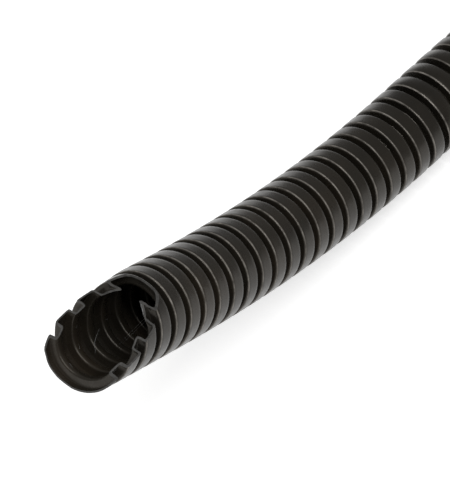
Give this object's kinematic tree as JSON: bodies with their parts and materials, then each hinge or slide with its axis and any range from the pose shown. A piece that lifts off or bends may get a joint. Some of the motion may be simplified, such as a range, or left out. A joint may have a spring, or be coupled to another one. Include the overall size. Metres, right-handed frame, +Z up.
{
  "type": "corrugated conduit",
  "caption": "Black corrugated plastic conduit laid in a broad sweep, one end cut square and the raised end cut off on a long slant.",
  "frame": {"origin": "middle of the square-cut end, on the tube's axis", "axes": "+X out of the square-cut end along its axis, +Z up, with the floor 16 mm below the origin"},
  "size_m": [0.7263, 0.6395, 0.0749],
  "materials": {
    "conduit": "satin"
  },
  "bodies": {
    "root": {"conduit": "conduit"}
  },
  "joints": []
}
